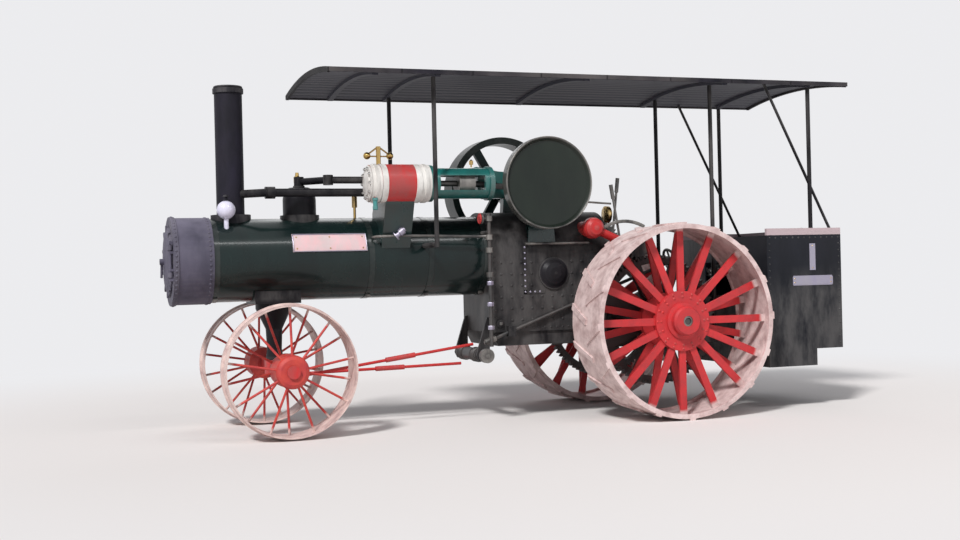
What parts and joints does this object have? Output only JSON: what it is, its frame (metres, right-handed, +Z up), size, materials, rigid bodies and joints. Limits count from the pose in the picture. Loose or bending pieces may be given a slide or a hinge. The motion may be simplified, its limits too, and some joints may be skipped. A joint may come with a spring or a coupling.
{
  "type": "steam traction engine",
  "caption": "Steam traction engine with a side-mounted cylinder, round boiler, steel spoked wheels, chain steering, rear tank and a long arched canopy.",
  "frame": {"origin": "centre of the bounding box on the ground that the wheels stand on", "axes": "+X forward from the tank to the smokebox, +Y to the engine's left, +Z up"},
  "size_m": [6.116, 2.336, 3.02],
  "materials": {
    "jacket_paint": "gloss, near-black dark green",
    "smokebox_paint": "dusty, heat-greyed",
    "black_paint": "satin",
    "red_paint": "satin, dusty",
    "green_paint": "gloss",
    "wheel_paint": "red paint, worn pale on the tread",
    "bright_metal": "bright",
    "dark_steel": "oiled",
    "brass": "polished",
    "panel_paint": "faded",
    "pale_wood": "weathered",
    "canopy_paint": "painted boards",
    "tank_paint": "gloss",
    "plate_metal": "worn",
    "lamp_white": "gloss"
  },
  "bodies": {
    "chassis": {"boiler": "jacket_paint", "smokebox": "smokebox_paint", "stack": "black_paint", "steam_dome": "black_paint", "whistle": "brass", "firebox": "black_paint", "ashpan": "black_paint", "engine_cylinder": "red_paint", "engine_frame": "green_paint", "connecting_rod": "bright_metal", "crank_guard": "jacket_paint", "governor": "brass", "steam_pipe": "black_paint", "exhaust_pipe": "black_paint", "feed_pipe": "dark_steel", "feed_pump_cover": "black_paint", "side_bar": "dark_steel", "name_panel": "panel_paint", "headlamp": "lamp_white", "front_pedestal": "black_paint", "roller_brackets": "black_paint", "frame_rails": "black_paint", "rear_axle": "dark_steel", "shaft_arms": "red_paint", "platform": "black_paint", "tank": "tank_paint", "tank_boards": "pale_wood", "tank_plate": "plate_metal", "drawbar": "black_paint", "canopy_roof": "canopy_paint", "canopy_ribs": "canopy_paint", "canopy_posts": "black_paint"},
    "crank_and_flywheel": {"crankshaft": "bright_metal", "flywheel": "jacket_paint"},
    "smokebox_door": {"smokebox_door": "smokebox_paint"},
    "fire_door": {"fire_door": "black_paint"},
    "tank_lid": {"tank_lid": "tank_paint"},
    "front_axle": {"front_axle": "red_paint"},
    "front_wheel_left": {"front_wheel_left": "wheel_paint"},
    "front_wheel_right": {"front_wheel_right": "wheel_paint"},
    "steering_rod_left": {"steering_rod_left": "red_paint"},
    "steering_rod_right": {"steering_rod_right": "red_paint"},
    "chain_roller": {"chain_roller": "dark_steel"},
    "steering_shaft": {"steering_shaft": "dark_steel"},
    "rear_wheel_left": {"rear_wheel_left": "wheel_paint"},
    "rear_wheel_right": {"rear_wheel_right": "wheel_paint"},
    "pinion_shaft_left": {"pinion_shaft_left": "dark_steel"},
    "pinion_shaft_right": {"pinion_shaft_right": "dark_steel"},
    "idler_gear": {"idler_gear": "dark_steel"},
    "differential_gear": {"differential_gear": "dark_steel"}
  },
  "joints": [
    {"name": "steering", "type": "hinge", "parent": "chassis", "child": "front_axle", "pos_m": [2.133, 0, 0.543], "axis": [0, 0, 1], "range_deg": [-25, 25]},
    {"name": "front_wheel_left_spin", "type": "hinge", "parent": "front_axle", "child": "front_wheel_left", "pos_m": [2.133, 0.629, 0.543], "axis": [0, 1, 0], "continuous": true},
    {"name": "front_wheel_right_spin", "type": "hinge", "parent": "front_axle", "child": "front_wheel_right", "pos_m": [2.133, -0.629, 0.543], "axis": [0, 1, 0], "continuous": true},
    {"name": "steering_rod_left_pivot", "type": "hinge", "parent": "front_axle", "child": "steering_rod_left", "pos_m": [2.033, 0.17, 0.455], "axis": [0, 0, 1], "range_deg": [-25, 25]},
    {"name": "steering_rod_right_pivot", "type": "hinge", "parent": "front_axle", "child": "steering_rod_right", "pos_m": [2.033, -0.17, 0.455], "axis": [0, 0, 1], "range_deg": [-25, 25]},
    {"name": "chain_roller_turn", "type": "hinge", "parent": "chassis", "child": "chain_roller", "pos_m": [0.382, 0, 0.574], "axis": [0, 1, 0], "range_deg": [-65, 65]},
    {"name": "steering_shaft_turn", "type": "hinge", "parent": "chassis", "child": "steering_shaft", "pos_m": [-1.408, 0.41, 1.35], "axis": [0.9388, 0, -0.3444], "range_deg": [-250, 250]},
    {"name": "flywheel_turn", "type": "hinge", "parent": "chassis", "child": "crank_and_flywheel", "pos_m": [-0.168, 0, 2.05], "axis": [0, 1, 0], "continuous": true},
    {"name": "idler_gear_turn", "type": "hinge", "parent": "chassis", "child": "idler_gear", "pos_m": [-0.39669, -0.415, 1.69772], "axis": [0, 1, 0], "continuous": true},
    {"name": "differential_gear_turn", "type": "hinge", "parent": "chassis", "child": "differential_gear", "pos_m": [-0.98407, -0.415, 1.4871], "axis": [0, 1, 0], "continuous": true},
    {"name": "rear_wheel_left_spin", "type": "hinge", "parent": "chassis", "child": "rear_wheel_left", "pos_m": [-1.158, 0.894, 0.838], "axis": [0, 1, 0], "continuous": true},
    {"name": "rear_wheel_right_spin", "type": "hinge", "parent": "chassis", "child": "rear_wheel_right", "pos_m": [-1.158, -0.894, 0.838], "axis": [0, 1, 0], "continuous": true},
    {"name": "pinion_shaft_left_turn", "type": "hinge", "parent": "chassis", "child": "pinion_shaft_left", "pos_m": [-0.98407, 0.3, 1.4871], "axis": [0, 1, 0], "continuous": true},
    {"name": "pinion_shaft_right_turn", "type": "hinge", "parent": "chassis", "child": "pinion_shaft_right", "pos_m": [-0.98407, -0.3, 1.4871], "axis": [0, 1, 0], "continuous": true},
    {"name": "smokebox_door_hinge", "type": "hinge", "parent": "chassis", "child": "smokebox_door", "pos_m": [3.004, 0.3, 1.44], "axis": [0, 0, 1], "range_deg": [0, 110]},
    {"name": "fire_door_hinge", "type": "hinge", "parent": "chassis", "child": "fire_door", "pos_m": [-0.855, 0.238, 1.13], "axis": [0, 0, 1], "range_deg": [-105, 0]},
    {"name": "tank_lid_hinge", "type": "hinge", "parent": "chassis", "child": "tank_lid", "pos_m": [-2.816, 0.62, 1.5963], "axis": [0, 1, 0], "range_deg": [-110, 0]}
  ],
  "couplings": [
    {"joint": "steering_rod_left_pivot", "follows": "steering", "ratio": -1},
    {"joint": "steering_rod_right_pivot", "follows": "steering", "ratio": -1},
    {"joint": "chain_roller_turn", "follows": "steering", "ratio": -2.576},
    {"joint": "steering_shaft_turn", "follows": "steering", "ratio": 10},
    {"joint": "idler_gear_turn", "follows": "flywheel_turn", "ratio": -0.34615},
    {"joint": "differential_gear_turn", "follows": "flywheel_turn", "ratio": 0.34615},
    {"joint": "pinion_shaft_left_turn", "follows": "rear_wheel_left_spin", "ratio": -5},
    {"joint": "pinion_shaft_right_turn", "follows": "rear_wheel_right_spin", "ratio": -5}
  ]
}
